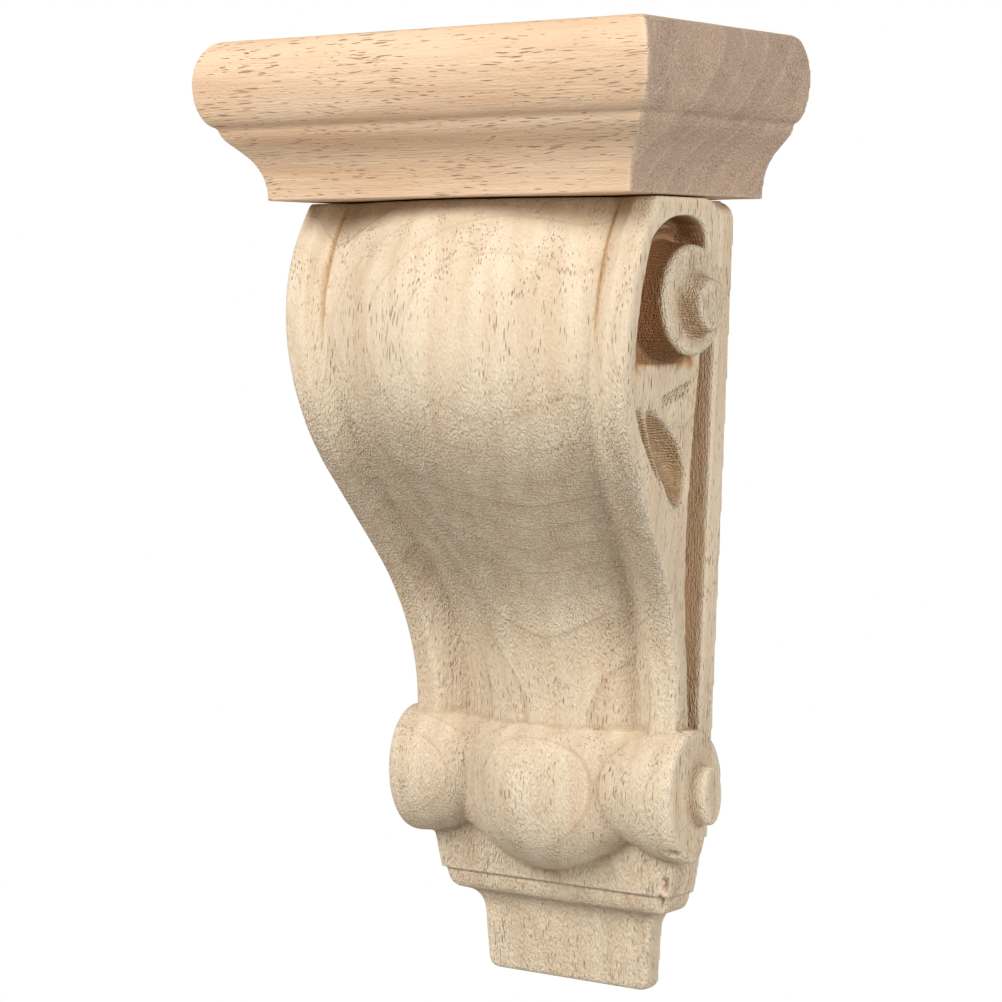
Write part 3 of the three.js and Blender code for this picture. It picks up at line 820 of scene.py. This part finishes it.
drift = grainy(grown, in_mm, 36.0, 80.0)["Color"]
drift = put(grown, "ShaderNodeVectorMath", {0: drift, 1: (0.5, 0.5, 0.5)}, operation="SUBTRACT").outputs[0]
drift = put(grown, "ShaderNodeVectorMath", {0: drift, "Scale": 4.5}, operation="SCALE").outputs[0]
warped = put(grown, "ShaderNodeVectorMath", {0: in_mm, 1: drift}, operation="ADD").outputs[0]
part = put(grown, "ShaderNodeSeparateXYZ", {0: warped}).outputs
across = maths(grown, "SUBTRACT", part["X"], given["Pith X"])
inward = maths(grown, "SUBTRACT", part["Y"], given["Pith Y"])
reach = maths(grown, "SQRT", maths(grown, "ADD", maths(grown, "MULTIPLY", across, across),
                                   maths(grown, "MULTIPLY", inward, inward)))
years = maths(grown, "DIVIDE", reach, given["Ring Gap"])
season = maths(grown, "FRACT", years)
year = put(grown, "ShaderNodeTexWhiteNoise", {"W": maths(grown, "FLOOR", years)}, noise_dimensions="1D")
thin_line = spread(grown, maths(grown, "ABSOLUTE", maths(grown, "SUBTRACT", season, 0.95)), 0.05, 0.0)
late = maths(grown, "ADD", maths(grown, "MULTIPLY", maths(grown, "POWER", season, 6.0), 0.35),
             maths(grown, "MULTIPLY", thin_line, 0.65))
ring = maths(grown, "MULTIPLY", late, spread(grown, year.outputs["Value"], 0.0, 1.0, 0.35, 1.0))

wander = grainy(grown, in_mm, 9.0, 22.0)["Color"]
wander = put(grown, "ShaderNodeVectorMath", {0: wander, "Scale": 3.5}, operation="SCALE").outputs[0]
winding = put(grown, "ShaderNodeVectorMath", {0: in_mm, 1: wander}, operation="ADD").outputs[0]
needles = put(grown, "ShaderNodeTexVoronoi", {
    "Vector": stretched(grown, winding, given["Vessel Gap"], given["Vessel Length"]), "Scale": 1.0,
})
thick = maths(grown, "MULTIPLY", given["Vessel Width"],
              spread(grown, grainy(grown, in_mm, 5.0, 16.0)["Fac"], 0.35, 0.65, 0.45, 1.3))
needle = spread(grown, maths(grown, "DIVIDE", needles.outputs["Distance"], thick), 1.0, 0.4)
chance = put(grown, "ShaderNodeSeparateColor", {0: needles.outputs["Color"]}).outputs
kept = maths(grown, "LESS_THAN", chance[0], given["Vessel Share"])
strength = spread(grown, chance[1], 0.0, 1.0, 0.35, 1.0)
vessel = maths(grown, "MULTIPLY", maths(grown, "MULTIPLY", needle, kept), strength)

ends = grown.nodes.new("NodeGroupOutput").inputs
grown.links.new(ring, ends["Ring"])
grown.links.new(vessel, ends["Vessel"])
year_tone = maths(grown, "MULTIPLY", year.outputs["Value"], spread(grown, season, 0.0, 0.25))
grown.links.new(year_tone, ends["Year"])
grown.links.new(grainy(grown, in_mm, 0.35, 9.0, 3.0)["Fac"], ends["Fibre"])
grown.links.new(grainy(grown, in_mm, 4.5, 60.0, 2.5)["Fac"], ends["Tone"])
print("grown wood", len(grown.nodes), "nodes")

# %% [markdown]
# ## Suede and cutter lines
# Where a cut crosses the grain, the fibres stand up in a fine granular nap, and the passes of a round
# cutter leave fine level lines. The second group makes both as heights, so that each wood can take what it
# needs, as a colour and as a bump, with its own strength.

# %% Shader group: worked surface
worked = bpy.data.node_groups.new("worked surface", "ShaderNodeTree")
face = worked.interface
face.new_socket(name="Place", in_out="INPUT", socket_type="NodeSocketVector")
for name, value in (("Nap Size", 0.55), ("Line Gap", 0.5)):
    face.new_socket(name=name, in_out="INPUT", socket_type="NodeSocketFloat").default_value = value
for name in ("Nap", "Lines"):
    face.new_socket(name=name, in_out="OUTPUT", socket_type="NodeSocketFloat")
given = worked.nodes.new("NodeGroupInput").outputs
in_mm = to_mm(worked, given["Place"])
lump = maths(worked, "MULTIPLY", given["Nap Size"], 2.6)
nap = grainy(worked, in_mm, given["Nap Size"], lump, 1.0)["Fac"]
shake = maths(worked, "MULTIPLY", grainy(worked, in_mm, 3.0, 3.0)["Fac"], 1.6)
level = put(worked, "ShaderNodeSeparateXYZ", {0: in_mm}).outputs["Z"]
wave = maths(worked, "DIVIDE", maths(worked, "ADD", level, shake), given["Line Gap"])
lines = maths(worked, "SINE", maths(worked, "MULTIPLY", wave, 2 * math.pi))
ends = worked.nodes.new("NodeGroupOutput").inputs
worked.links.new(spread(worked, nap, 0.3, 0.7), ends["Nap"])
worked.links.new(spread(worked, lines, -1.0, 1.0), ends["Lines"])
print("worked surface", len(worked.nodes), "nodes")

# %% [markdown]
# ## Two woods
# The body is a cream wood with tan rings; the cap a warmer, pinker one with red-brown pores, duller and
# speckled on its sawn ends. A material starts from the groups, mixes its colours by their masks, and
# presses pores, fibre and nap into one bump. The teeth above the leaf are finer than the faces can hold
# sharply, so the body's material also paints their shade, in the same row and step as they are carved.

# %% Wood helpers
def blend(tree, share, a, b, how="MIX"):
    made = tree.nodes.new("ShaderNodeMix")
    made.data_type = "RGBA"
    made.blend_type = how
    for socket, value in zip((made.inputs[0], made.inputs[6], made.inputs[7]), (share, a, b)):
        if isinstance(value, bpy.types.NodeSocket):
            tree.links.new(value, socket)
        else:
            socket.default_value = (*value, 1.0) if isinstance(value, tuple) else value
    return made.outputs[2]


def grouped(tree, group, inputs):
    made = tree.nodes.new("ShaderNodeGroup")
    made.node_tree = group
    for name, value in inputs.items():
        if isinstance(value, bpy.types.NodeSocket):
            tree.links.new(value, made.inputs[name])
        else:
            made.inputs[name].default_value = value
    return made.outputs


def new_material(name):
    made = bpy.data.materials.new(name)
    made.use_nodes = True
    made.node_tree.nodes.clear()
    return made, made.node_tree


def mask(tree, name):
    return put(tree, "ShaderNodeAttribute", attribute_name=name).outputs["Fac"]


def wooden(tree, colour, roughness, height, distance):
    bump = put(tree, "ShaderNodeBump", {"Height": height, "Distance": distance})
    shader = put(tree, "ShaderNodeBsdfPrincipled", {
        "Base Color": colour, "Roughness": roughness, "Normal": bump.outputs[0], "Specular IOR Level": 0.25,
    })
    surface = tree.nodes.new("ShaderNodeOutputMaterial")
    tree.links.new(shader.outputs[0], surface.inputs["Surface"])


# %% Body wood
body_wood, tree = new_material("carved cream wood")
place = tree.nodes.new("ShaderNodeTexCoord").outputs["Object"]
wood = grouped(tree, grown, {
    "Place": place, "Ring Gap": 3.6, "Pith X": -20.0, "Pith Y": 95.4,
    "Vessel Length": 5.2, "Vessel Gap": 0.43, "Vessel Width": 0.25, "Vessel Share": 0.95,
})
skin = grouped(tree, worked, {"Place": place, "Nap Size": 0.36, "Line Gap": 0.55})
hollow, edge, suede, lined = (mask(tree, name) for name in ("hollow", "edge", "suede", "lined"))
colour = blend(tree, spread(tree, wood["Tone"], 0.36, 0.68), (0.82, 0.69, 0.505), (0.705, 0.545, 0.37))
colour = blend(tree, maths(tree, "MULTIPLY", wood["Year"], 0.32), colour, (0.66, 0.50, 0.345))
colour = blend(tree, maths(tree, "MULTIPLY", wood["Ring"], 0.6), colour, (0.46, 0.29, 0.165))
colour = blend(tree, spread(tree, wood["Fibre"], 0.35, 0.75, 0.0, 0.3), colour, (0.62, 0.46, 0.30))
grit = maths(tree, "MULTIPLY", spread(tree, skin["Nap"], 0.7, 0.0), suede)
colour = blend(tree, maths(tree, "MULTIPLY", grit, 0.2), colour, (0.45, 0.35, 0.25))
passes = maths(tree, "MULTIPLY", spread(tree, skin["Lines"], 0.6, 0.1), lined)
colour = blend(tree, maths(tree, "MULTIPLY", passes, 0.6), colour, (0.36, 0.25, 0.17))
colour = blend(tree, maths(tree, "MULTIPLY", wood["Vessel"], 0.9), colour, (0.32, 0.18, 0.09))
# Painted shade: the teeth above the leaf are darkened along their grooves, where the carved teeth would hold
# shade.
at_mm = put(tree, "ShaderNodeSeparateXYZ", {0: to_mm(tree, place)}).outputs
row_at_wall = row_height + row_fall * row_depth - mid_height
rising = maths(tree, "MULTIPLY_ADD", at_mm["Y"], -row_fall, maths(tree, "SUBTRACT", at_mm["Z"], row_at_wall))
in_band = spread(tree, maths(tree, "ABSOLUTE", rising), 1.5, 1.0)
in_reach = spread(tree, maths(tree, "ABSOLUTE", maths(tree, "ADD", at_mm["Y"], row_middle)), 5.2, 4.6)
on_side = spread(tree, maths(tree, "ABSOLUTE", at_mm["X"]), 33.0, 34.0)
stepping = maths(tree, "SUBTRACT", tooth_rise * mid_height, at_mm["Y"])
stepping = maths(tree, "MULTIPLY_ADD", at_mm["Z"], tooth_rise, stepping)
teeth = maths(tree, "SINE", maths(tree, "MULTIPLY", stepping, 2 * math.pi / tooth_step))
teeth = maths(tree, "MULTIPLY", spread(tree, teeth, -0.1, 0.8), maths(tree, "MULTIPLY", in_band, in_reach))
teeth = maths(tree, "MULTIPLY", teeth, on_side)
colour = blend(tree, maths(tree, "MULTIPLY", teeth, 0.95), colour, (0.30, 0.15, 0.07))
# Painted shade: the hollows take a warm brown, and their deepest parts a darker one, uneven along the
# cutter's passes.
colour = blend(tree, spread(tree, hollow, 0.0, 0.5, 0.0, 0.8), colour, (0.52, 0.29, 0.12))
uneven = spread(tree, skin["Lines"], 0.0, 1.0, 0.62, 0.92)
deep_shade = maths(tree, "MULTIPLY", spread(tree, hollow, 0.5, 1.0), uneven)
colour = blend(tree, deep_shade, colour, (0.24, 0.095, 0.03))
# Convex edges are made paler; creases get painted shade, darker the deeper they lie.
colour = blend(tree, spread(tree, edge, 0.25, 1.0, 0.0, 0.35), colour, (0.86, 0.74, 0.57))
colour = blend(tree, spread(tree, edge, -0.3, -1.0, 0.0, 0.35), colour, (0.40, 0.26, 0.15))
pressed = maths(tree, "MULTIPLY_ADD", wood["Vessel"], -1.0, maths(tree, "MULTIPLY", wood["Fibre"], 0.35))
raised = maths(tree, "MULTIPLY", skin["Nap"], spread(tree, suede, 0.0, 1.0, 0.28, 1.15))
ridged = maths(tree, "MULTIPLY", skin["Lines"], maths(tree, "MULTIPLY", lined, 0.6))
height = maths(tree, "ADD", maths(tree, "ADD", pressed, raised), ridged)
wooden(tree, colour, spread(tree, wood["Fibre"], 0.3, 0.7, 0.7, 0.9), height, 0.00045)
print("body wood", len(tree.nodes), "nodes")

# %% Cap wood
cap_wood, tree = new_material("moulded tan wood")
place = tree.nodes.new("ShaderNodeTexCoord").outputs["Object"]
laid = put(tree, "ShaderNodeMapping", {"Vector": place, "Rotation": (0.0, math.pi / 2, 0.0)}).outputs[0]
wood = grouped(tree, grown, {
    "Place": laid, "Ring Gap": 6.5, "Pith X": -45.0, "Pith Y": 130.0,
    "Vessel Length": 7.5, "Vessel Gap": 0.36, "Vessel Width": 0.26, "Vessel Share": 0.95,
})
skin = grouped(tree, worked, {"Place": laid, "Nap Size": 0.4})
edge = mask(tree, "edge")
sawn = mask(tree, "sawn end")
colour = blend(tree, spread(tree, wood["Tone"], 0.38, 0.66), (0.79, 0.575, 0.385), (0.70, 0.465, 0.285))
colour = blend(tree, maths(tree, "MULTIPLY", wood["Ring"], 0.3), colour, (0.52, 0.32, 0.18))
colour = blend(tree, spread(tree, wood["Fibre"], 0.35, 0.75, 0.0, 0.35), colour, (0.56, 0.38, 0.24))
colour = blend(tree, maths(tree, "MULTIPLY", sawn, 0.75), colour, (0.68, 0.50, 0.38))
bands = maths(tree, "MULTIPLY", wood["Year"], sawn)
colour = blend(tree, maths(tree, "MULTIPLY", bands, 0.6), colour, (0.42, 0.30, 0.23))
grit = maths(tree, "MULTIPLY", spread(tree, skin["Nap"], 0.75, 0.1), sawn)
colour = blend(tree, maths(tree, "MULTIPLY", grit, 0.4), colour, (0.24, 0.16, 0.11))
colour = blend(tree, maths(tree, "MULTIPLY", wood["Vessel"], 0.95), colour, (0.48, 0.19, 0.06))
colour = blend(tree, spread(tree, edge, 0.25, 1.0, 0.0, 0.3), colour, (0.80, 0.62, 0.44))
pressed = maths(tree, "MULTIPLY_ADD", wood["Vessel"], -1.0, maths(tree, "MULTIPLY", wood["Fibre"], 0.4))
raised = maths(tree, "MULTIPLY", skin["Nap"], spread(tree, sawn, 0.0, 1.0, 0.12, 0.6))
height = maths(tree, "ADD", pressed, raised)
wooden(tree, colour, spread(tree, wood["Fibre"], 0.3, 0.7, 0.6, 0.8), height, 0.0004)
print("cap wood", len(tree.nodes), "nodes")

# %% [markdown]
# ## Dress the two pieces
# The cap's tree is baked to a mesh, given even faces and slightly eased edges, and painted with its sawn
# ends. Then each piece rides on the one body of the row and takes the place of its plain CAD solid.

# %% Bake the cap
def baked_cap():
    thing = placed("cap_moulding", bpy.data.meshes.new("cap_moulding"))
    rule = thing.modifiers.new("moulding", "NODES")
    rule.node_group = bpy.data.node_groups["moulded cap"]
    for name, value in cap.items():
        rule[sizes[name.replace("_", " ").title()].identifier] = value * MM
    rule[sizes["Wood"].identifier] = cap_wood
    return applied(thing)


top = baked_cap()
print("cap from its rule", len(top.data.polygons), "faces")
remeshed(top, face_size)
mesh = top.data
move_points(mesh, relaxed(mesh, points_of(mesh), 2))
out_by = 0.04 * ripple(points_of(mesh), 9, 8)
at = points_of(mesh) + normals_of(mesh) * ((out_by - 0.02) * MM)[:, None]
move_points(mesh, np.clip(at, low, high))
thinned(top, 150000)
mesh = top.data
move_points(mesh, np.clip(points_of(mesh), low, high))
painted(mesh, "edge", edge_mask(mesh))
across, depth, up = normals_of(mesh).T
sideways = np.abs(across) / np.maximum(np.hypot(across, depth), 1e-6)
painted(mesh, "sawn end", relaxed(mesh, smooth(0.62, 0.76, sideways) * smooth(0.98, 0.9, np.abs(up)), 1))

# %% Finish the pieces
for thing, node, slot, material in ((top, "cap", "cap_wood", cap_wood),
                                    (body, "corbel_body", "body_wood", body_wood)):
    thing.data.materials.clear()
    thing.data.materials.append(material)
    thing.data.polygons.foreach_set("use_smooth", [True] * len(thing.data.polygons))
    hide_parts(node)
    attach(thing, "root")
    print(thing.name, sum(len(p.vertices) - 2 for p in thing.data.polygons), "triangles")

# %% Floor
skin = bmesh.new()
bmesh.ops.create_circle(skin, cap_ends=True, segments=96, radius=1.1)
ground = bpy.data.meshes.new("floor")
skin.to_mesh(ground)
skin.free()
floor = placed("floor", ground)
floor.location = (0, 0, -0.7)
pale, tree = new_material("pale floor")
speck = put(tree, "ShaderNodeTexNoise", {"Scale": 900.0})
colour = blend(tree, spread(tree, speck.outputs["Fac"], 0.3, 0.7), (0.72, 0.71, 0.69), (0.76, 0.75, 0.73))
wooden(tree, colour, 0.8, speck.outputs["Fac"], 0.0002)
floor.data.materials.append(pale)
